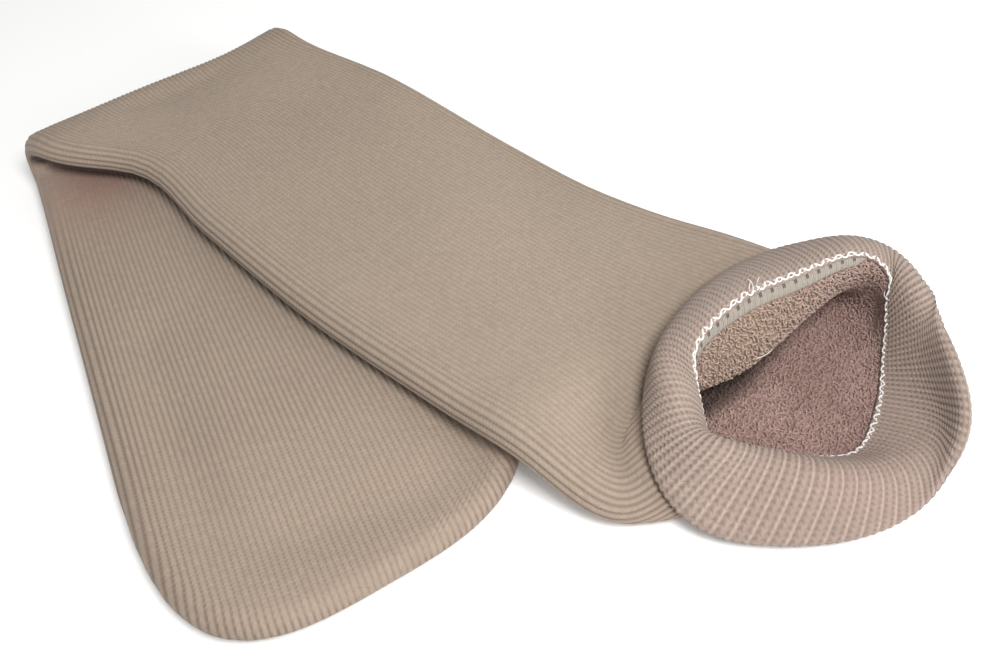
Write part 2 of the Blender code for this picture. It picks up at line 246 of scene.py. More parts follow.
TURN_X = area_under(-np.cos(TURN))
TURN_X -= TURN_X.min()
TURN_Z = area_under(np.sin(TURN))
FOLD_RISE = TURN_Z[-1]
FOLD_TAKES = FOLD_LENGTH / 2 - TURN_X[-1]
TOE_S = LOWER_REACH + FOLD_TAKES / COS_TILT
LIE = 2 * (LEG["half"][0] + WALL / 2) + LEG_GAP


def toe_inset(s, w, half):
    """Distance inside the outline of the closed end, |w/half|^p + |b/TOE_ROUND|^p = 1."""
    b = np.maximum(s - (TOE_S - TOE_ROUND), 0) / TOE_ROUND
    a = np.abs(w) / half
    p = TOE_POWER
    size = np.maximum((a**p + b**p) ** (1 / p), 1e-6)
    steep = np.hypot((a / size) ** (p - 1) / half, (b / size) ** (p - 1) / TOE_ROUND)
    return (1 - size) / (steep + 1e-9)


def flat_section(t, half_width, half):
    """w and n round a flat loop with half-circle edges, evenly along each of its two faces."""
    arc = np.pi * half / 2
    side = np.where(t < 0.5, 1.0, -1.0)
    run = (2 * t % 1) * (2 * (half_width - half) + 2 * arc)
    flat = half_width - half
    first = np.clip(run / half, 0, np.pi / 2)
    last = np.clip((run - arc - 2 * flat) / half, 0, np.pi / 2)
    w = -flat - half * np.cos(first) + np.clip(run - arc, 0, 2 * flat) + half * np.sin(last)
    w = np.where(run > arc, w + half * np.cos(first), w)
    n = half * np.sin(first) * np.cos(last)
    return w * side, n * side


def lay(s, w, n, half):
    """Strip place (s along, w across, n out) to x y z on the folded sock."""
    u = s * COS_TILT - w * SIN_TILT
    v = s * SIN_TILT + w * COS_TILT
    inside = np.clip(u, -FOLD_LENGTH / 2, FOLD_LENGTH / 2)
    turn = np.interp(inside, TURN_U, TURN)
    away = np.interp(inside, TURN_U, TURN_X) + np.abs(u - inside)
    past = np.maximum(u - FOLD_LENGTH / 2, 0)
    bow = FOLD_BOW * bell(v, BOW_AT, BOW_WIDTH) * bell(u, 0, BOW_REACH)
    away = away + bow + STAND_OFF - np.sin(turn) * n
    plan = v[..., None] * ALONG_FOLD + away[..., None] * ACROSS_FOLD
    back = plan @ ACROSS_FOLD - STAND_OFF + FOLD_TAKES
    across = back * SIN_TILT + v * COS_TILT - BED_MIDDLE
    over = toe_inset(back * COS_TILT - v * SIN_TILT, across, BED_HALF)
    hover = HOVER * np.exp(-past / HOVER_REACH)
    carried = smooth((over + WALL / 2 + hover + DRAPE - CARRIED_FROM) / DRAPE)
    rise = LIE + (FOLD_RISE - LIE) * np.exp(-past / SETTLE)
    rise = np.where(past > 0, rise, np.interp(inside, TURN_U, TURN_Z))
    upper = smooth((u / FOLD_LENGTH - 0.1) / 0.4)
    sag = np.cos(np.clip(v / SAG_HALF, -1, 1) * np.pi / 2) ** 2
    sag = FOLD_SAG * bell(u, SAG_AT, SAG_REACH) * sag
    z = half + WALL / 2 + rise * (1 - upper + upper * carried) - sag * upper - np.cos(turn) * n
    return np.concatenate([plan, z[..., None]], axis=-1)


def leg_section(s, t, lead=0.0):
    """Strip places of the flattened tube's rings: along, across, out, and the sizes behind them."""
    slant = np.tan(FOLD_TILT) * smooth((SLANT_ENDS - np.abs(s)) / (SLANT_ENDS - SLANT_FULL))
    near = through(s - slant * SLANT_REACH, LEG["s"], LEG["near"])[:, None]
    far = through(s + slant * SLANT_REACH, LEG["s"], LEG["far"])[:, None]
    half, lift = (through(s, LEG["s"], LEG[k])[:, None] for k in ("half", "lift"))
    half_width = (far - near) / 2
    w, n = flat_section(t[None, :], half_width, half)
    top = smooth((w / half_width + 0.4) / 1.4) * (n + half) / (2 * half)
    b = np.clip((-s - (TOE_S - TOE_ROUND)) / TOE_ROUND, 0, 1)[:, None]
    w = w * (1 - b**TOE_POWER) ** (1 / TOE_POWER)
    inset = np.clip(toe_inset(-s[:, None] + 0 * w, w, half_width) / half, 0, 1)
    n = np.where(b > 0, np.sign(n) * half * np.sqrt(1 - (1 - inset) ** 2), n) + lift * top
    toward_toe = smooth(1 - (TOE_S + s[:, None]) / TOE_ROUND)
    lead = lead / half_width + TOE_SKEW * toward_toe + slant[:, None]
    return s[:, None] + lead * w, w, n, half, half_width, (far + near) / 2, b


def leg_ring(s, t, lead=0.0):
    """Rings of the flattened tube at the places s, points at the fractions t."""
    along, w, n, half, _, middle_line, _ = leg_section(s, t, lead)
    return lay(along, w + middle_line, n, half)


def mouth_ring(points, t):
    """Closed curve through a ring's points, read evenly along each half."""
    count = len(points)
    wrapped = np.concatenate([points[-3:], points, points[:4]])
    chords = np.sqrt(np.linalg.norm(np.diff(wrapped, axis=0), axis=1))
    knots = running(chords)
    fine = np.linspace(0, 1, 60, endpoint=False)
    starts = knots[3 : 3 + count]
    x = np.append((starts[:, None] + fine * chords[3 : 3 + count, None]).ravel(), knots[3 + count])
    curve = through(x, knots, wrapped)
    middle_point = len(fine) * count // 2
    out = np.empty((len(t), 3))
    for half, chosen in ((curve[: middle_point + 1], t < 0.5), (curve[middle_point:], t >= 0.5)):
        length = running(np.linalg.norm(np.diff(half, axis=0), axis=1))
        run = (2 * t[chosen] % 1) * length[-1]
        out[chosen] = np.stack([np.interp(run, length, half[:, k]) for k in range(3)], axis=-1)
    return out


def softened(read, x, width):
    """A curve's weighted mean over two widths either side, which rounds its tight turns."""
    weights = ((-2, 1 / 16), (-1, 4 / 16), (0, 6 / 16), (1, 4 / 16), (2, 1 / 16))
    return sum(weight * read(x + step * width) for step, weight in weights)


def mouth_controls(t):
    """The rings that the mouth is drawn through, and their places along the knit."""
    rings = [leg_ring(np.array([s]), t, lead)[0] for s, lead in NECK_RINGS]
    for name in ("neck", "lobe", "throat", "roll", "rim"):
        rings.append(softened(lambda x: mouth_ring(RINGS[name], x % 1), t, SOFTEN / TUBE_ROUND))
    rings = np.array(rings)
    steps = np.linalg.norm(np.diff(rings, axis=0), axis=2).mean(axis=1)
    places = running(steps)
    return rings, places - places[1] + TOE_S + NECK_RINGS[1][0]


MOUTH_PLACES = mouth_controls(np.arange(240) / 240)[1]
MOUTH_STARTS, THROAT, RIM = MOUTH_PLACES[1], MOUTH_PLACES[-3], MOUTH_PLACES[-1]


def middle(a, t):
    """The wall's middle surface: rows at a mm from the toe's tip, points at the fractions t."""
    legs = leg_ring(a[a < MOUTH_STARTS] - TOE_S, t)
    rings, _ = mouth_controls(t)

    def read(x):
        value = through(np.minimum(x, 2 * RIM - x), MOUTH_PLACES, rings)
        return np.where((x > RIM)[:, None, None], 2 * rings[-1] - value, value)

    mouth = softened(read, a[a >= MOUTH_STARTS], SOFTEN)
    mouth[..., 2] = np.maximum(mouth[..., 2], WALL / 2)
    return np.concatenate([legs, mouth])


def half_wall(a):
    """Half the tube's thickness, a column for the places a."""
    return (WALL - (WALL - HEM_WALL) * smooth((a - THROAT + THINNING) / THINNING))[:, None] / 2


def rim_rounding(a):
    """1 away from the folded edge, falling along a quarter circle to 0 at it."""
    share = np.clip((a - RIM + RIM_ROUND) / RIM_ROUND, 0, 1)
    return np.sqrt(1 - share**2)[:, None]


def frame_at(a, t):
    """The middle surface, its outward normal and its direction to the rim, from small steps."""
    da, dt = np.minimum(0.05, np.abs(a) / 2), 2e-4
    along = middle(a + da, t) - middle(a - da, t)
    around = middle(a, (t + dt) % 1) - middle(a, (t - dt) % 1)
    return middle(a, t), unit(np.cross(along, around)), unit(along)


def frame_between(rows, a, t):
    """The same at places a between even rows: one or more places for each fraction t."""
    share = (a - rows[0]) / (rows[1] - rows[0])
    i = np.clip(share.astype(int), 0, len(rows) - 2)
    f = (share - i)[..., None]
    j = np.arange(len(t)).reshape((-1,) + (1,) * (a.ndim - 1))
    return [grid[i, j] * (1 - f) + grid[i + 1, j] * f for grid in frame_at(rows, t)]


def frame_on_line(a, t):
    """The same where each fraction t has a place a of its own: read between twelve rows."""
    return frame_between(np.linspace(a.min() - 0.01, a.max() + 0.01, 12), a, t)


def moved(base, normal, offset):
    """Points moved out along the normal, and never below the surface that the sock lies on."""
    points = base + offset[..., None] * normal
    points[..., 2] = np.maximum(points[..., 2], 0)
    return points


# --- relief: ribs, dips and soft unevenness, all in mm along the outward normal


def stitch_places(a, t):
    """Rib and course count at each point. On the closed end the ribs run straight on into the edge,
    so they are counted across the full width there, and the rings' fractions elsewhere."""
    along, w, _, half, half_width, _, b = leg_section(a - TOE_S, t)
    arc = np.pi * half / 2
    flat = half_width - half
    face = 2 * flat + 2 * arc
    to_edge = half * np.arccos(np.clip((np.abs(w) - flat) / half, 0, 1))
    run = np.where(np.abs(w) <= flat, np.abs(w) + flat + arc, face - to_edge)
    run = np.where(w < 0, face - run, run) / (2 * face)
    share = np.where(b > 0, np.where(t[None, :] < 0.5, run, 1 - run), t[None, :])
    courses = np.where(a[:, None] < MOUTH_STARTS, along + TOE_S, a[:, None]) / COURSE
    return share * RIBS, courses


# Height across two neighbouring ribs on the hem, where every other rib stands out as a thin crest
PAIR_SHARE = (0.0, 1 / 12, 2 / 12, 3 / 12, 4 / 12, 6 / 12, 7 / 12, 9 / 12, 11 / 12, 1.0)
PAIR_HEIGHT = (0.18, 0.0, 0.5, 1.0, 0.72, 0.46, 0.5, 0.64, 0.42, 0.18)


def rib_profile(count, paired=0.0):
    """0 in the groove between two ribs and 1 on a rib's crown: 1 - |2f - 1|^2.6 of its share f.
    Where the ribs are paired, the profile of two ribs together, from the table."""
    single = 1 - np.abs(2 * (count % 1) - 1) ** 2.6
    pair = np.interp(count / 2 % 1, PAIR_SHARE, PAIR_HEIGHT)
    return single * (1 - paired) + pair * paired


def hem_pairing(t):
    """Share of the paired profile round the hem: most on the lip stretched over the edge."""
    return 0.15 + 0.5 * near_to(t, LOWER_LIP + 0.02, 0.13)


def pairing(a, t):
    """The same on the outer face, where it sets in over the last 14 mm before the rim."""
    return smooth((a[:, None] - RIM + 14) / 12) * hem_pairing(t)


def near_to(t, place, width):
    """A bell round the ring's fraction, 1 at the place, as one row."""
    return bell((t - place + 0.5) % 1 - 0.5, 0, width)[None, :]


def rib_depth(a, t):
    """Depth of the ribs: shallow on the flat faces, deeper round the two edges and on the hem, and
    less at the closed end, on the upper lip and where the cloth is stretched."""
    bent = np.clip(near_to(t, 0, 0.03) + near_to(t, 0.5, 0.03), 0, 1)
    leg = RIB_FLAT + (RIB_BENT - RIB_FLAT) * bent
    hem = smooth((a[:, None] - MOUTH_STARTS - 40) / 60)
    closed = 0.6 * smooth((TOE_ROUND - 8 - a[:, None]) / 20)
    quiet = 0.35 * hem * near_to(t, UPPER_LIP, 0.15)
    kept = (1 - 0.85 * stretched(a, t)) * (1 - closed) * (1 - quiet)
    return (leg * (1 - hem) + RIB_HEM * hem) * kept


def stretched(a, t):
    """1 where the lower leg's near edge is pulled round the fold, which draws its ribs out flat."""
    return bell(a[:, None], TOE_S - 18, 30) * near_to(t, 0.95, 0.08)


def knit_look(a, t, paired=0.0):
    """How open the ribs look at each point, which sets how much painted shade darkens their
    grooves, how pinkish the yarn is (under the fold partly painted shade), how far the ribs are
    paired, and how much shade is painted on the yarn: a dark line along the underside of the upper
    leg's near edge."""
    bent = np.clip(near_to(t, 0, 0.035) + near_to(t, 0.5, 0.035), 0, 1)
    place = a[:, None] + 0 * bent
    upper = smooth((place - TOE_S - 4) / 24)
    mouth = smooth((place - MOUTH_STARTS - 30) / 60)
    pulled = bell(place, TOE_S - 16, 30)
    flat = (0.40 - 0.24 * upper) * (1 - 0.5 * pulled) + 0.36 * mouth
    edges = 0.46 * bent * (1 - 0.5 * mouth) * (1 - 0.7 * pulled * (1 - upper))
    opened = np.clip(flat + edges, 0, 1)
    opened = opened * (1 - 0.5 * mouth * near_to(t, UPPER_LIP, 0.17))
    opened = opened * (1 - 0.85 * stretched(a, t))
    # a pinkish patch on the lower leg by its near edge, under the fold: partly the yarn's own tint
    # and partly painted shade cast by the fold
    pink_and_shade = near_to(t, 0.90, 0.09) * bell(place, TOE_S - 26, 24)
    pink_and_shade = pink_and_shade + 0.10 * smooth((90 - place) / 90)
    pink_and_shade = np.clip(pink_and_shade + (0.08 + 0.26 * near_to(t, LOWER_LIP, 0.12)) * mouth, 0, 1)
    # painted shade: a dark line along the underside of the upper leg's near edge
    under = smooth((near_to(t, 0.985, 0.013) - 0.25) / 0.5)
    under = under * smooth((place - TOE_S + 6) / 10) * smooth((TOE_S + 185 - place) / 60)
    return np.stack([opened, pink_and_shade, paired + 0 * pink_and_shade, under], axis=-1)


RIPPLES = (150, 95, 70, 48, 33)  # wavelengths


def ripple(x, y, seed):
    """Low unevenness between -1 and 1: five slow waves of seeded direction and phase."""
    rng = np.random.default_rng(seed)
    total = 0
    for length in RIPPLES:
        angle, phase = rng.uniform(0, 2 * np.pi, 2)
        wave = 2 * np.pi / length
        along = x * np.cos(angle) + y * np.sin(angle)
        total = total + np.sin(along * wave + phase) * length / sum(RIPPLES)
    return total


def relief(a, t):
    """Soft unevenness and a dip of the outer face."""
    across = t[None, :] * TUBE_ROUND
    place = a[:, None] + 0 * across
    upper = np.abs(t - 0.25)[None, :]
    lower = np.abs(t - 0.75)[None, :]
    top = smooth((0.47 - 2 * np.where(place < TOE_S, lower, upper)) / 0.12)
    low = ripple(place, across, 3) * 0.35
    along, w, _, _, half_width, _, _ = leg_section(a - TOE_S, t)
    inset = toe_inset(-along, w, half_width)
    dip = np.where(a[:, None] < 110, TOE_DIP * bell(inset, DIP_INSET, DIP_WIDTH), 0)
    return (low - dip) * top


# --- meshes


def new_object(name, data):
    made = bpy.data.objects.new(name, data)
    bpy.context.scene.collection.objects.link(made)
    return made


class Shell:
    """One closed mesh put together from ring grids, fans and joins."""

    def __init__(self):
        self.points, self.looks, self.faces, self.uvs, self.slots = [], [], [], [], []
        self.count = self.slot = 0

    def add_points(self, points, look=None):
        """look: four marks from 0 to 1 at each point, the last one how much shade is painted on it.
        """
        numbers = self.count + np.arange(points.size // 3).reshape(points.shape[:-1])
        self.points.append(points.reshape(-1, 3))
        self.looks.append(np.zeros((numbers.size, 4)) if look is None else look.reshape(-1, 4))
        self.count += numbers.size
        return numbers

    def add_faces(self, faces, uv=None):
        self.faces.append(faces)
        self.slots.append(np.full(len(faces), self.slot))
        self.uvs.append(np.zeros((faces.size, 2)) if uv is None else uv.reshape(-1, 2))

    def quads(self, numbers, places=None, inward=False):
        """Quads over a grid of point numbers, with u and v at each in places."""

        def corners(x):
            four = [x[:-1, :-1], x[1:, :-1], x[1:, 1:], x[:-1, 1:]]
            return np.stack(four[::-1] if inward else four, axis=2)

        places = None if places is None else corners(places)
        self.add_faces(corners(numbers).reshape(-1, 4), places)

    def rings(self, points, u=None, v=None, look=None, inward=False):
        """Quads over rings of points that close on themselves. u and v have one column more."""
        n = self.add_points(points, look)
        places = None if u is None else np.stack([u + 0 * v, v + 0 * u], axis=-1)
        self.quads(np.pad(n, ((0, 0), (0, 1)), mode="wrap"), places, inward)
        return n

    def fan(self, tip, ring, inward=False):
        """Triangles from one point to a ring."""
        n = self.add_points(tip.reshape(1, 3))
        faces = np.stack([np.full(len(ring), n[0]), ring, np.roll(ring, -1)], axis=-1)
        self.add_faces(faces[:, ::-1] if inward else faces)

    def zip(self, ring, u, v, inward=False):
        """Quads across a flattened ring, from each point to the one facing it."""
        half = len(ring) // 2
        front, back = ring[: half + 1], np.roll(ring, -1)[::-1][: half + 1]
        corners = [front[:-1], front[1:], back[1:], back[:-1]]
        across = np.stack([u[:-1], u[1:], u[1:], u[:-1]], axis=-1)[:half]
        down = np.stack([v[:-1], v[1:], v[1:] - 1, v[:-1] - 1], axis=-1)[:half]
        order = slice(None, None, -1) if inward else slice(None)
        faces = np.stack(corners, axis=-1)[:, order]
        places = np.stack([across, down], axis=-1)[:, order]
        ends = np.zeros(half, bool)
        ends[[0, -1]] = True
        self.add_faces(faces[~ends], places[~ends])
        for k in (0, half - 1):
            keep = [i for i, corner in enumerate(faces[k]) if corner not in faces[k][:i]]
            self.add_faces(faces[k : k + 1, keep], places[k : k + 1, keep])

    def join(self, long, short, inward=False):
        """Triangles between two rings. The long one has a whole number of points to each of the
        short one's."""
        step = len(long) // len(short)
        k = np.arange(len(long))
        here = short[((k + step // 2) // step) % len(short)]
        there = short[((k + 1 + step // 2) // step) % len(short)]
        onward = np.roll(long, -1)
        faces = np.stack([long, here, onward], axis=-1)
        steps = np.stack([onward, here, there], axis=-1)[here != there]
        faces = np.concatenate([faces, steps])
        self.add_faces(faces[:, ::-1] if inward else faces)

    def finish(self, name, *materials, sharp=()):
        """The object in metres, at the origin, smooth but for the named rings' edges."""
        mesh = bpy.data.meshes.new(name)
        points = (np.concatenate(self.points) - FRAME_CENTRE) * MM
        sizes = np.concatenate([np.full(len(f), f.shape[1]) for f in self.faces])
        corners = np.concatenate([f.ravel() for f in self.faces])
        for part, key, values in (
            (mesh.vertices, "co", points.astype(np.float32)),
            (mesh.loops, "vertex_index", corners.astype(np.int32)),
            (mesh.polygons, "loop_start", (np.cumsum(sizes) - sizes).astype(np.int32)),
        ):
            part.add(len(values))
            part.foreach_set(key, values.ravel())
        mesh.update(calc_edges=True)
        layer = mesh.uv_layers.new(name="stitches")
        layer.data.foreach_set("uv", np.concatenate(self.uvs).astype(np.float32).ravel())
        marks = np.concatenate(self.looks).astype(np.float32)
        look = mesh.attributes.new("look", "FLOAT_VECTOR", "POINT")
        look.data.foreach_set("vector", marks[:, :3].ravel())
        shade = mesh.attributes.new("shade", "FLOAT", "POINT")
        shade.data.foreach_set("value", marks[:, 3])
        for material in materials:
            mesh.materials.append(material)
        mesh.polygons.foreach_set("material_index", np.concatenate(self.slots).astype(np.int32))
        mesh.shade_smooth()
        if len(sharp):
            marked = np.zeros(len(points), bool)
            marked[np.concatenate(sharp)] = True
            ends = np.empty(len(mesh.edges) * 2, np.int32)
            mesh.edges.foreach_get("vertices", ends)
            mesh.edges.foreach_set("use_edge_sharp", marked[ends.reshape(-1, 2)].all(axis=1))
        return new_object(name, mesh)


# --- materials


def linear(colour):
    """An sRGB hex colour as linear RGB, with an alpha of 1."""
    value = np.array([int(colour[i : i + 2], 16) for i in (1, 3, 5)]) / 255
    value = np.where(value <= 0.04045, value / 12.92, ((value + 0.055) / 1.055) ** 2.4)
    return (*value, 1.0)


def set_inputs(node, values):
    """Sets a node's inputs by name or number: a socket is linked, a hex colour is made linear, a
    number is set, and None is left as it is."""
    for key, value in values.items():
        if isinstance(value, bpy.types.NodeSocket):
            node.id_data.links.new(value, node.inputs[key])
        elif value is not None:
            node.inputs[key].default_value = linear(value) if isinstance(value, str) else value


def add_node(tree, kind, *inputs, output=0, **settings):
    """A new shader node with its settings, as the output asked for. The inputs come in order, or in
    a dict by name or number."""
    made = tree.nodes.new("ShaderNode" + kind)
    for key, value in settings.items():
        setattr(made, key, value)
    by_key = inputs and isinstance(inputs[0], dict)
    set_inputs(made, inputs[0] if by_key else dict(enumerate(inputs)))
    return made.outputs[output]


ALL_THREE = slice(3)
MIX = {"data_type": "RGBA", "output": 2}  # a Mix node's colours are its inputs 6 and 7
SOFT = {"interpolation_type": "SMOOTHSTEP"}
TIMES = {"operation": "MULTIPLY"}


def new_material(name, values):
    """A material with these values on its shader's inputs."""
    material = bpy.data.materials.new(name)
    material.use_nodes = True
    set_inputs(material.node_tree.nodes["Principled BSDF"], values)
    return material


def new_cloth(name, roughness, sheen, sheen_roughness, specular=0.2):
    """A matt cloth, what adds a node to it, and the place on the object. Knitted yarn has no gloss,
    only the pale sheen of its loose fibres."""
    values = {"Roughness": roughness, "Specular IOR Level": specular}
    values |= {"Sheen Weight": sheen, "Sheen Roughness": sheen_roughness}
    material = new_material(name, values)
    node = partial(add_node, material.node_tree)
    return material, node, node("TexCoord", output="Object")


def finished(material, colour, height, distance=MM):
    """The material with its colour, and with its height in units of the distance as a bump."""
    tree = material.node_tree
    bump = add_node(tree, "Bump", {"Height": height, "Distance": distance, "Strength": 1.0})
    set_inputs(tree.nodes["Principled BSDF"], {"Base Color": colour, "Normal": bump})
    return material


def humps(node, count, per=1):
    """|sin(pi per count)|: a row of humps from 0 to 1."""
    angle = node("Math", count, per * np.pi, **TIMES)
    return node("Math", node("Math", angle, operation="SINE"), operation="ABSOLUTE")


def stripe(node, x, middle, inner, outer):
    """1 where |x - middle| is less than inner, falling smoothly to 0 at outer."""
    gap = node("Math", node("Math", x, middle, operation="SUBTRACT"), operation="ABSOLUTE")
    return node("MapRange", gap, inner, outer, 1.0, 0.0, **SOFT)


def weighted(node, total, *parts):
    """The total and each part times its weight."""
    for part, weight in parts:
        total = node("Math", part, weight, total, operation="MULTIPLY_ADD")
    return total


def tinted(node, colour, *tints):
    """The colour taken towards each tint in turn, by its share times the most it may be."""
    for share, most, tint in tints:
        share = node("Math", share, most, **TIMES)
        colour = node("Mix", {0: share, 6: colour, 7: tint}, **MIX)
    return colour


def knit_yarn(name, crown, groove, rung, stitch_bump):
    """Rib knit in a cotton and wool yarn: the eye sees pale crowns of V-shaped stitches, darker
    grooves between the ribs with the cross threads of each course in them, their darkness partly
    painted shade, a painted highlight on the hem's thin crests, painted shade where the shade mark
    is set, and heathered yarn.

    UV: u counts ribs and v counts courses. Crown to groove is |2 frac(u) - 1|. A stitch is the wave
    |sin| of v shifted with the distance from the crown, which makes a chevron.
    """
    material, node, place = new_cloth(name, 0.92, 0.12, 0.45)
    u, v, _ = node("SeparateXYZ", node("UVMap", uv_map="stitches"), output=ALL_THREE)
    look = node("Attribute", attribute_name="look", output="Vector")
    opened, pink_and_shade, paired = node("SeparateXYZ", look, output=ALL_THREE)
    shade = node("Attribute", attribute_name="shade", output="Fac")

    across = node("Math", node("Math", u, operation="FRACT"), 2.0, -1.0, operation="MULTIPLY_ADD")
    across = node("Math", across, operation="ABSOLUTE")
    shifted = node("Math", across, 0.5, v, operation="MULTIPLY_ADD")
    wave, rungs = humps(node, shifted), humps(node, v)
    in_groove = node("MapRange", across, 0.25, 1.0, 0.0, 1.0, **SOFT)

    # on the hem, in twelfths of two ribs: one groove darkened as painted shade, and beside it a
    # thin crest lightened as painted highlight
    share = node("Math", node("Math", u, 0.5, **TIMES), operation="FRACT")
    share = node("Math", share, 12.0, **TIMES)
    dark_side = stripe(node, share, 1.1, 0.3, 1.5)
    crest = node("Math", stripe(node, share, 3.1, 0.3, 1.6), paired, **TIMES)
    weak = node("Math", dark_side, 0.8, **TIMES)
    weak = node("Math", in_groove, 0.35, weak, operation="MULTIPLY_ADD", use_clamp=True)
    in_groove = node("Mix", paired, None, in_groove, weak)
    in_groove = node("Math", in_groove, opened, **TIMES)

    # fibres of 0.35 mm yarn, flecks a few stitches long, slow patches 30 mm across, odd stitches
    fine = node("TexNoise", {"Vector": place, "Scale": 1400.0, "Detail": 2.0, "Roughness": 0.6})
    fleck = node("TexNoise", {"Vector": place, "Scale": 420.0, "Detail": 3.0, "Roughness": 0.7})
    patch = node("TexNoise", {"Vector": place, "Scale": 28.0, "Detail": 2.0})
    rib, course = (node("Math", x, operation="FLOOR") for x in (u, shifted))
    stitch = node("CombineXYZ", rib, course)
    stitch = node("TexNoise", {"Vector": stitch, "Scale": 0.91, "Detail": 0.0})
    hole = node("Math", in_groove, node("Math", rungs, 1.5, operation="POWER"), **TIMES)
    hole = node("Math", hole, node("MapRange", fleck, 0.35, 0.6), **TIMES)

    colour = tinted(
        node,
        crown,
        # grooves: the cross threads, and painted shade, more where the ribs look open
        (in_groove, 1.0, groove),
        # painted highlight along the hem's thin crests
        (crest, 0.5, "#cbbbb0"),
        (hole, rung, "#4f3d34"),
        # pinkish tint; under the fold partly painted shade
        (pink_and_shade, 0.75, "#86665d"),
        # painted shade along the underside of the upper leg's near edge
        (shade, 0.92, "#2a1e19"),
    )
    tone = weighted(node, 0.65, (fleck, 0.24), (patch, 0.14), (stitch, 0.18), (fine, 0.14))
    grey = node("CombineXYZ", tone, tone, tone)
    colour = node("Mix", {0: 1.0, 6: colour, 7: grey}, blend_type="MULTIPLY", **MIX)

    height = node("Math", wave, 0.7, operation="POWER")
    relief_bump = 1.2 * stitch_bump
    parts = (height, stitch_bump), (hole, -relief_bump), (fine, relief_bump)
    return finished(material, colour, weighted(node, 0.0, *parts, (in_groove, -relief_bump)))


def terry_yarn(name, light, dark, beige_light):
    """Terry: soft uncut loops of thick yarn, pinker than the face where they are worn, beige
    elsewhere, and darkened by painted shade deep between the walls."""
    material, node, place = new_cloth(name, 0.95, 0.15, 0.5)
    look = node("Attribute", attribute_name="look", output="Vector")
    shade = node("Attribute", attribute_name="shade", output="Fac")
    fleck = node("TexNoise", {"Vector": place, "Scale": 620.0, "Detail": 3.0, "Roughness": 0.65})
    patch = node("TexNoise", {"Vector": place, "Scale": 60.0, "Detail": 2.0})
    fine = node("TexNoise", {"Vector": place, "Scale": 2200.0, "Detail": 2.0})
    share = weighted(node, 0.0, (patch, 0.4), (fleck, 0.8))
    share = node("MapRange", share, 0.4, 0.8, 0.0, 1.0)
    beige = node("SeparateXYZ", look)
    # the last tint is painted shade, deep between the walls
    tints = (share, 1.0, light), (beige, 0.7, beige_light), (shade, 0.9, "#34251e")
    colour = tinted(node, dark, *tints)
    return finished(material, colour, weighted(node, 0.0, (fleck, 0.8), (fine, 0.12)))


def sewing_thread(name, colour, shade):
    """White spun polyester thread: bright, faintly lustrous and a little uneven."""
    material, node, place = new_cloth(name, 0.6, 0.3, 0.3, specular=0.4)
    fleck = node("TexNoise", {"Vector": place, "Scale": 900.0, "Detail": 2.0})
    return finished(material, tinted(node, shade, (fleck, 1.0, colour)), fleck, 0.15 * MM)


def overlock(name, dark, light):
    """The flattened, overlocked cut edge of the hem: pale threads side by side, with needle holes.
    UV: u counts stitches and v runs across the band from the hem to the terry."""
    material, node, place = new_cloth(name, 0.85, 0.25, 0.4)
    u, v, _ = node("SeparateXYZ", node("UVMap", uv_map="stitches"), output=ALL_THREE)
    fleck = node("TexNoise", {"Vector": place, "Scale": 700.0, "Detail": 3.0})
    slit = stripe(node, node("Math", u, operation="FRACT"), 0.5, 0.06, 0.15)
    reach = node("MapRange", v, 0.3, 0.45, 1.0, 0.0, **SOFT)
    hole = node("Math", slit, reach, **TIMES)
    threads = humps(node, u, 7)
    share = weighted(node, 0.0, (threads, 0.4), (fleck, 0.6))
    colour = tinted(node, dark, (share, 1.0, light), (hole, 0.8, "#5b4a42"))
    return finished(material, colour, weighted(node, 0.0, (threads, 0.15), (hole, -0.6)))


# --- pieces


def even(count):
    return np.arange(count) / count


def spans(*parts):
    """Row places from (start, stop, step) parts, each shared end kept once."""
    rows = [np.linspace(a, b, max(2, int(round((b - a) / step)) + 1)) for a, b, step in parts]
    return np.concatenate([rows[0]] + [row[1:] for row in rows[1:]])


def turned(values, step=0.0):
    """One more column, the first one again with the step added."""
    return np.concatenate([values, values[:, :1] + step], axis=1)


FINE = even(RIBS * PER_RIB)
COARSE = even(RIBS)
RIM_ROWS = (RIM - RIM_ROUND, RIM - LAST_ROW, 0.6)


def outer_face(a):
    """The ribbed outer face and its rib and course counts."""
    base, normal, _ = frame_at(a, FINE)
    ribs, courses = stitch_places(a, FINE)
    raised = rib_depth(a, FINE) * (rib_profile(ribs, pairing(a, FINE)) - RIB_MIDDLE)
    rounding = rim_rounding(a)
    half = half_wall(a)
    offset = (2 * half - RIM_LEFT) * rounding + RIM_LEFT - half + raised * np.maximum(rounding, 0.5)
    return moved(base, normal, offset + relief(a, FINE)), turned(ribs, RIBS), turned(courses)


def inner_face(a, depth):
    """The plain inner face, this deep below the middle, and its counts."""
    base, normal, _ = frame_at(a, COARSE)
    u = turned(COARSE[None, :] * RIBS, RIBS)
    return moved(base, normal, -depth + 0 * base[..., 0]), u, a[:, None] / COURSE + 0 * u


def rim_apex(depth):
    """The rim's very edge: past the last row, and more so on a rib's crown than in its groove."""
    base, normal, along = frame_at(np.array([RIM]), FINE)
    out = 0.25 + 0.45 * rib_profile(FINE * RIBS, hem_pairing(FINE))
    return base + along * out[..., None] - depth * normal


def to_apex(grid, u, v, look, depth):
    """A face's rows, counts and marks with one row more, at the rim's very edge."""
    u, look = (np.concatenate([rows, rows[-1:]]) for rows in (u, look))
    return np.concatenate([grid, rim_apex(depth)]), u, np.concatenate([v, v[-1:] + 0.5]), look


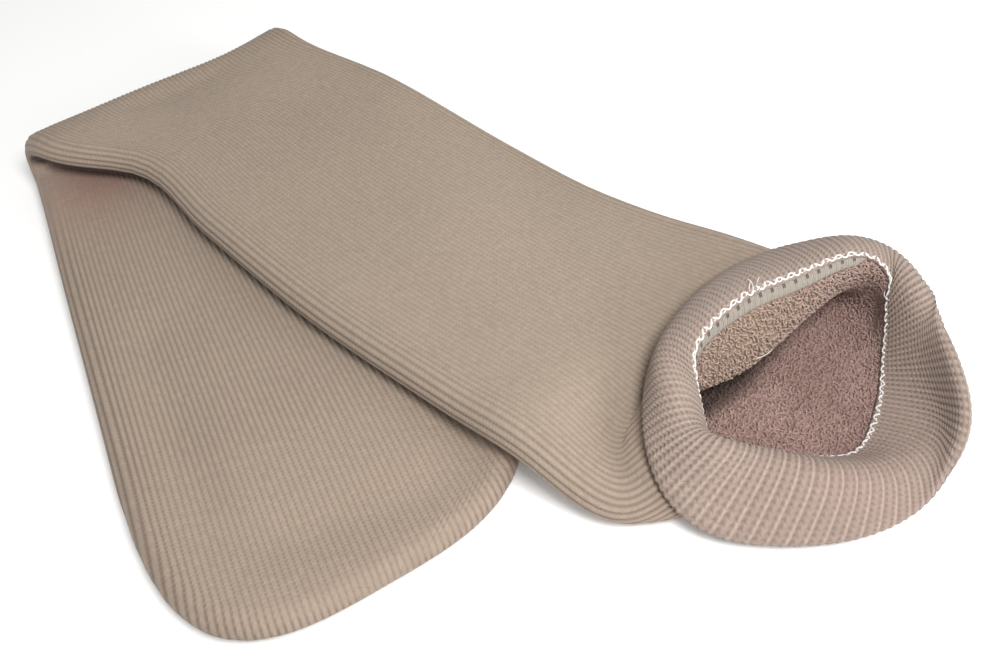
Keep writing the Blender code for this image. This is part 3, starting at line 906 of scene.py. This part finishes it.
def leg_piece(material):
    """From the toe to the neck: a closed toe, a fold, and an open end where the mouth goes on."""
    toe = np.array([0.05, 0.25, 0.7, 1.3, 2.0, 2.9, 4.0, 5.3, 6.8, 8.5, 10.5, 12.5])
    turn = FOLD_LENGTH / 2 / COS_TILT + 12
    a = spans(
        (toe[-1], TOE_ROUND, 2.9),
        (TOE_ROUND, TOE_S - turn, 6),
        (TOE_S - turn, TOE_S + turn, 1.6),
        (TOE_S + turn, NECK_CUT, 6),
    )
    a = np.concatenate([toe[:-1], a])
    shell = Shell()
    face, u, v = outer_face(a)
    outer = shell.rings(face, u, v, knit_look(a, FINE))
    coarse = np.unique(np.concatenate([a[:11:3], a[12::2], a[-1:]]))
    inside, inner_u, inner_v = inner_face(coarse, WALL / 2)
    inner = shell.rings(inside, inner_u, inner_v, inward=True)
    shell.zip(outer[0], u[0], v[0])
    shell.zip(inner[0], inner_u[0], inner_v[0], inward=True)
    shell.join(outer[-1], inner[-1])
    return shell.finish("ribbed_leg", material, sharp=[outer[-1]])


def terry_bulge(a, t):
    """mm by which the terry stands out under the upper lip, most 15 mm in from the stitch line."""
    return TERRY_BULGE * near_to(t, UPPER_LIP, 0.12) * bell(a[:, None], THROAT - 15, 6.5)


def nearest(points, others):
    """Distance from each point to the nearest of the others."""
    p, q = points.reshape(-1, 3), others.reshape(-1, 3)
    squared = (p**2).sum(axis=1)[:, None] + (q**2).sum(axis=1) - 2 * p @ q.T
    return np.sqrt(np.maximum(squared.min(axis=1), 0)).reshape(points.shape[:-1])


def terry_marks(a, t):
    """How beige the terry is, and how much shade is painted on it in the crevice between the walls
    and in a hollow on the upper wall's near side.
    """
    base, _, _ = frame_at(a, t)
    t_few = even(60)
    few, _, _ = frame_at(spans((428, THROAT - 4, 3)), t_few)
    roof = few[:, (t_few > 0.08) & (t_few < 0.42)]
    bed = few[:, (t_few > 0.58) & (t_few < 0.92)]
    # painted shade: darker where the other wall is near, and in a hollow on the upper wall's near
    # side
    from_bed = smooth((CREVICE[0] - nearest(base, bed) + WALL) / 3)
    from_roof = smooth((CREVICE[1] - nearest(base, roof) + WALL) / 4)
    deep = np.where(t < 0.5, from_bed, from_roof) * (1 - near_to(t, 0.5, 0.09))
    hollow = near_to(t, 0.05, 0.05) * bell(a[:, None], THROAT - 13, 5)
    beige = near_to(t, 0.24, 0.15) * smooth((a[:, None] - THROAT + 24) / 8)
    return np.stack([beige, 0 * deep, 0 * deep, np.maximum(deep, 0.75 * hollow)], axis=-1)


def mouth_piece(material, ground):
    """From the neck to the rim, with the terry side's ground inside, in darker colours that are
    painted shade between and behind the loops.
    """
    a = spans((NECK_CUT, 440, 1.9), (440, RIM - RIM_ROUND, 1.25), RIM_ROWS)
    shell = Shell()
    grid, u, v = outer_face(a)
    look = knit_look(a, FINE, pairing(a, FINE))
    outer = shell.rings(*to_apex(grid, u, v, look, HEM_WALL / 2))
    rows = a[::2] if a[::2][-1] == a[-1] else np.append(a[::2], a[-1])
    inside, inner_u, inner_v = inner_face(rows, half_wall(rows) + terry_bulge(rows, COARSE))
    shell.join(outer[0], shell.count + np.arange(RIBS), inward=True)
    shell.slot = 1
    marks = terry_marks(rows, COARSE)
    inner = shell.rings(inside, inner_u, inner_v, marks, inward=True)
    shell.join(outer[-1], inner[-1])
    return shell.finish("ribbed_mouth", material, ground, sharp=[outer[0]])


def hem_face_places(a):
    """How deep the hem's face lies under the middle surface, and how its ribs fade at its ends."""
    edge = np.clip((a - THROAT) / 1.8, 0, 1)[:, None]
    rounded = np.sqrt(1 - (1 - edge) ** 2)
    rounding = rim_rounding(a)
    thick = (RIM_LEFT + (HEM_LAYER - RIM_LEFT) * rounding) * (0.4 + 0.6 * rounded)
    return half_wall(a) + HEM_CLEAR + thick, np.maximum(rounding, 0.5) * rounded


def hem_piece(material):
    """The hem's turned-in layer: its back, and a ribbed face from the rim to the stitch line."""
    a = spans((THROAT, THROAT + 2, 0.5), (THROAT + 2, RIM - RIM_ROUND, 0.95), RIM_ROWS)
    base, normal, _ = frame_at(a, FINE)
    depth, fade = hem_face_places(a)
    ribs = FINE[None, :] * RIBS
    raised = rib_depth(a, FINE) * (rib_profile(ribs, hem_pairing(FINE)) - RIB_MIDDLE) * fade
    face = moved(base, normal, -depth - raised)
    u, v = turned(ribs + 0 * raised, RIBS), turned(a[:, None] / COURSE + 0 * raised)
    shell = Shell()
    look = knit_look(a, FINE, hem_pairing(FINE))
    front = shell.rings(*to_apex(face, u, v, look, HEM_WALL / 2 + HEM_CLEAR), inward=True)
    rows = np.append(a[::4], a[-1])
    back = shell.rings(inner_face(rows, half_wall(rows) + HEM_CLEAR)[0])
    shell.join(front[-1], back[-1], inward=True)
    shell.join(front[0], back[0])
    return shell.finish("hem_face", material)


def loops_piece(material):
    """Terry loops: each an arc of yarn of 220 degrees standing on the inner face, turned and leaned
    at random. Its sections have three sides, in the plane of the arc's radius and binormal."""
    rng = np.random.default_rng(11)
    rows = spans((TERRY_FROM, THROAT - 0.6, LOOP_SPACING))
    count = int(round(MOUTH_ROUND / LOOP_SPACING))
    t = even(count)
    base, normal, along = frame_at(rows, t)
    around = np.cross(normal, along)
    shift = rng.uniform(-0.5, 0.5, base.shape[:2] + (2,)) * LOOP_SPACING
    shift[1::2, :, 1] += LOOP_SPACING / 2
    under_band = band_width(t)[None, :] > THROAT - rows[:, None] + 0.9 * shift[..., 0]
    depth = half_wall(rows) + LOOP_LIFT + terry_bulge(rows, t)
    base = base - normal * depth[..., None] + along * shift[..., :1] + around * shift[..., 1:]
    marks = terry_marks(rows, t)
    grids = (base, normal, along, around, marks)
    base, normal, along, around, marks = (grid[~under_band] for grid in grids)
    n = len(base)
    turn = rng.uniform(0, 2 * np.pi, n)[:, None]
    level = along * np.cos(turn) + around * np.sin(turn)
    side = -along * np.sin(turn) + around * np.cos(turn)
    up = -normal + side * rng.normal(0, 0.5, n)[:, None]
    up = unit(up + level * rng.normal(0, 0.35, n)[:, None])
    angle = np.radians(np.linspace(-20, 200, 4))
    wide = LOOP_RADIUS * rng.uniform(0.8, 1.2, n)[:, None]
    tall = LOOP_RADIUS * rng.uniform(0.9, 1.5, n)[:, None]
    centre = on_circle(level * wide, up * tall, angle) + base[:, None]
    binormal = np.cross(level, up)[:, None]
    ring = on_circle(on_circle(level, up, angle), binormal, 2 * np.pi * even(3))
    points = centre[:, :, None] + YARN_RADIUS * ring
    points[..., 2] = np.maximum(points[..., 2], 0.4)
    shell = Shell()
    m = shell.add_points(points, np.broadcast_to(marks[:, None, None], points.shape[:3] + (4,)))
    onward = np.roll(m, -1, axis=2)
    quads = np.stack([m[:, :-1], m[:, 1:], onward[:, 1:], onward[:, :-1]], axis=-1).reshape(-1, 4)
    shell.add_faces(quads[:, ::-1])
    shell.add_faces(m[:, 0])
    shell.add_faces(m[:, -1, ::-1])
    return shell.finish("terry_loops", material)


def thread_rings(path, up, radius, sides=6):
    """Rings of a round thread about a path, square to it, with the up direction given."""
    ahead = unit(np.gradient(path, axis=0))
    side = unit(np.cross(ahead, up))
    out = on_circle(side, np.cross(side, ahead), 2 * np.pi * even(sides))
    return path[:, None] + radius * out


def add_thread(shell, path, up, radius, closed=False, sides=6):
    """A round thread along a path, closed on itself or capped at its two ends."""
    if closed:
        wrapped, ups = (np.concatenate([x[-3:], x, x[:3]]) for x in (path, up))
        m = shell.add_points(thread_rings(wrapped, ups, radius, sides)[3:-3])
        shell.quads(np.pad(m, (0, 1), mode="wrap"), inward=True)
        return
    m = shell.rings(thread_rings(path, up, radius, sides), inward=True)
    shell.fan(path[0], m[0], inward=True)
    shell.fan(path[-1], m[-1])


def zigzag_piece(material):
    """The hem's zigzag: a thread that swings across the hem's edge once a stitch, doubled by a
    second one half a stitch on, so that the two make a chain, and the loose ends."""
    shell = Shell()
    t = even(STITCHES * 14)
    rng = np.random.default_rng(5)
    threads = ((0.0, 0.5, 0.45, THREAD_RADIUS), (0.5, 0.3, 0.3, 0.75 * THREAD_RADIUS))
    for phase, swing, lift, thick in threads:
        wave = blunt(np.sin(2 * np.pi * (t * STITCHES + phase)), 0.7)
        uneven = rng.uniform(0.6, 1.35, STITCHES + 1)
        uneven[-1] = uneven[0]
        wave = wave * np.interp(t * STITCHES, np.arange(STITCHES + 1), uneven)
        a = THROAT + 1.15 + swing * wave
        base, normal, _ = frame_on_line(a, t)
        depth = HEM_WALL / 2 + THREAD_DEPTH + lift + 0.12 * np.cos(4 * np.pi * t * STITCHES)
        add_thread(shell, base - normal * depth[:, None], -normal, thick, closed=True)
    share = np.linspace(0, 1, 12)[:, None]
    for row in read_table(LOOSE_ENDS)[1]:
        t0, inward, under, ahead, sideways, away = map(float, row)
        base, normal, along = frame_on_line(np.array([THROAT - inward]), np.array([t0]))
        around = np.cross(normal, along)
        path = base - normal * under + share * ahead * along + share**2 * sideways * around
        path = path - normal * away * np.sin(share * 2.2)
        add_thread(shell, path, -normal + 0 * path, LOOSE_RADIUS, sides=5)
    return shell.finish("zigzag_thread", material)


def band_width(t):
    """Width of the overlocked edge at the fraction t, none outside its reach."""
    inside = np.minimum(t - BAND_T[0], BAND_T[1] - t)
    return BAND * smooth(inside / 0.02)


def band_piece(material):
    """The overlocked edge: a low strip below the zigzag. Its section is a flat, rounded loop."""
    t = np.linspace(BAND_T[0] + 0.004, BAND_T[1] - 0.004, 420)
    spin = np.arange(16) * 2 * np.pi / 16
    across = (1 - blunt(np.cos(spin), 0.7)) / 2
    raised = blunt(np.sin(spin), 0.8)
    rows = spans((THROAT - BAND - 0.4, THROAT + 0.8, 0.4))
    a = THROAT + 0.5 - across[None, :] * (band_width(t)[:, None] + 0.3)
    place, out, _ = frame_between(rows, a, t)
    puckers = 0.1 * np.sin(4 * np.pi * t * STITCHES)[:, None]
    depth = WALL / 2 - 0.1 + 0.6 * raised[None, :] + puckers
    points = place - out * depth[..., None]
    shell = Shell()
    u = turned(t[:, None] * STITCHES + 0 * a)
    v = turned(0 * t[:, None] + across[None, :])
    m = shell.rings(points, u, v, inward=True)
    shell.fan(points[0].mean(axis=0), m[0], inward=True)
    shell.fan(points[-1].mean(axis=0), m[-1])
    return shell.finish("overlock_band", material)


SQUARE = ((-1, -1), (1, -1), (1, 1), (-1, 1))
FLOOR_HALF = 3.0  # metres
FLOOR_BELOW = 0.0004  # metres, so that the floor's face and the sock's don't coincide
LAMPS = (  # name, place and size in metres, power in watts
    ("key", (0.25, -0.08, 0.52), 0.26, 2.95),
    ("fill", (0.50, -0.50, 0.60), 0.7, 1.0),
    ("side", (0.55, 0.20, 0.22), 0.3, 1.1),
)
LAMPS_FACE = np.array([0.03, 0, 0])
EYE = np.array([287.80, -180.06, 265.0])
EYE_TURNS = (38, 0, 36)  # degrees
LENS = 37.52  # on a sensor 36 mm wide


def studio():
    """A pale floor, three soft lamps, an even pale surround, and the camera."""
    scene = bpy.context.scene
    mesh = bpy.data.meshes.new("floor")
    corners = [(x * FLOOR_HALF, y * FLOOR_HALF, -FLOOR_BELOW) for x, y in SQUARE]
    mesh.from_pydata(corners, [], [(0, 1, 2, 3)])
    floor = new_object("floor", mesh)
    glow = {"Emission Color": (1, 1, 1, 1), "Emission Strength": 0.08}
    matt = {"Base Color": "#f7f7f6", "Roughness": 0.8, "Specular IOR Level": 0.1}
    mesh.materials.append(new_material("white_paper_sweep", {**matt, **glow}))
    scene.world = bpy.data.worlds.new("surround")
    scene.world.use_nodes = True
    surround = scene.world.node_tree.nodes["Background"]
    set_inputs(surround, {"Color": (1, 1, 1, 1), "Strength": 0.47})
    for name, place, size, power in LAMPS:
        light = bpy.data.lights.new(name, "AREA")
        light.shape = "DISK"
        light.size = size
        light.energy = power
        lamp = new_object(name, light)
        lamp.location = place
        way = LAMPS_FACE - np.array(place)
        tilt = np.arccos(-way[2] / np.linalg.norm(way))
        lamp.rotation_euler = (tilt, 0, np.arctan2(way[0], -way[1]) + np.pi)
    camera = bpy.data.cameras.new("camera")
    camera.lens = LENS
    camera.sensor_width = 36
    camera.clip_start = 0.01
    eye = new_object("camera", camera)
    eye.location = (EYE - FRAME_CENTRE) * MM
    eye.rotation_euler = np.radians(EYE_TURNS)
    scene.camera = eye
    scene.view_settings.view_transform = "Standard"


def main():
    knit = knit_yarn("rib_knit_cotton_wool", "#9a8b7c", "#78685c", 0.25, 0.08)
    hem = knit_yarn("hem_rib_knit", "#9e8e83", "#817167", 0.55, 0.18)
    terry = terry_yarn("terry_loop_cotton", "#ae948c", "#92756d", "#b09b8a")
    # the ground: the same terry in darker colours, painted shade between and behind the loops
    ground = terry_yarn("terry_ground_cotton_painted_shade", "#977c73", "#765c53", "#8c7968")
    thread = sewing_thread("white_polyester_thread", "#efecea", "#d2cdc8")
    edge = overlock("overlocked_edge", "#857c71", "#a8a096")

    leg = leg_piece(knit)
    mouth = mouth_piece(knit, ground)
    face = hem_piece(hem)
    loops = loops_piece(terry)
    band = band_piece(edge)
    zigzag = zigzag_piece(thread)

    for piece in (leg, mouth, face, loops, band, zigzag):
        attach(piece, "root")
    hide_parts("knit_leg")
    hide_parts("knit_mouth")
    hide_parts("hem_band")
    studio()


main()
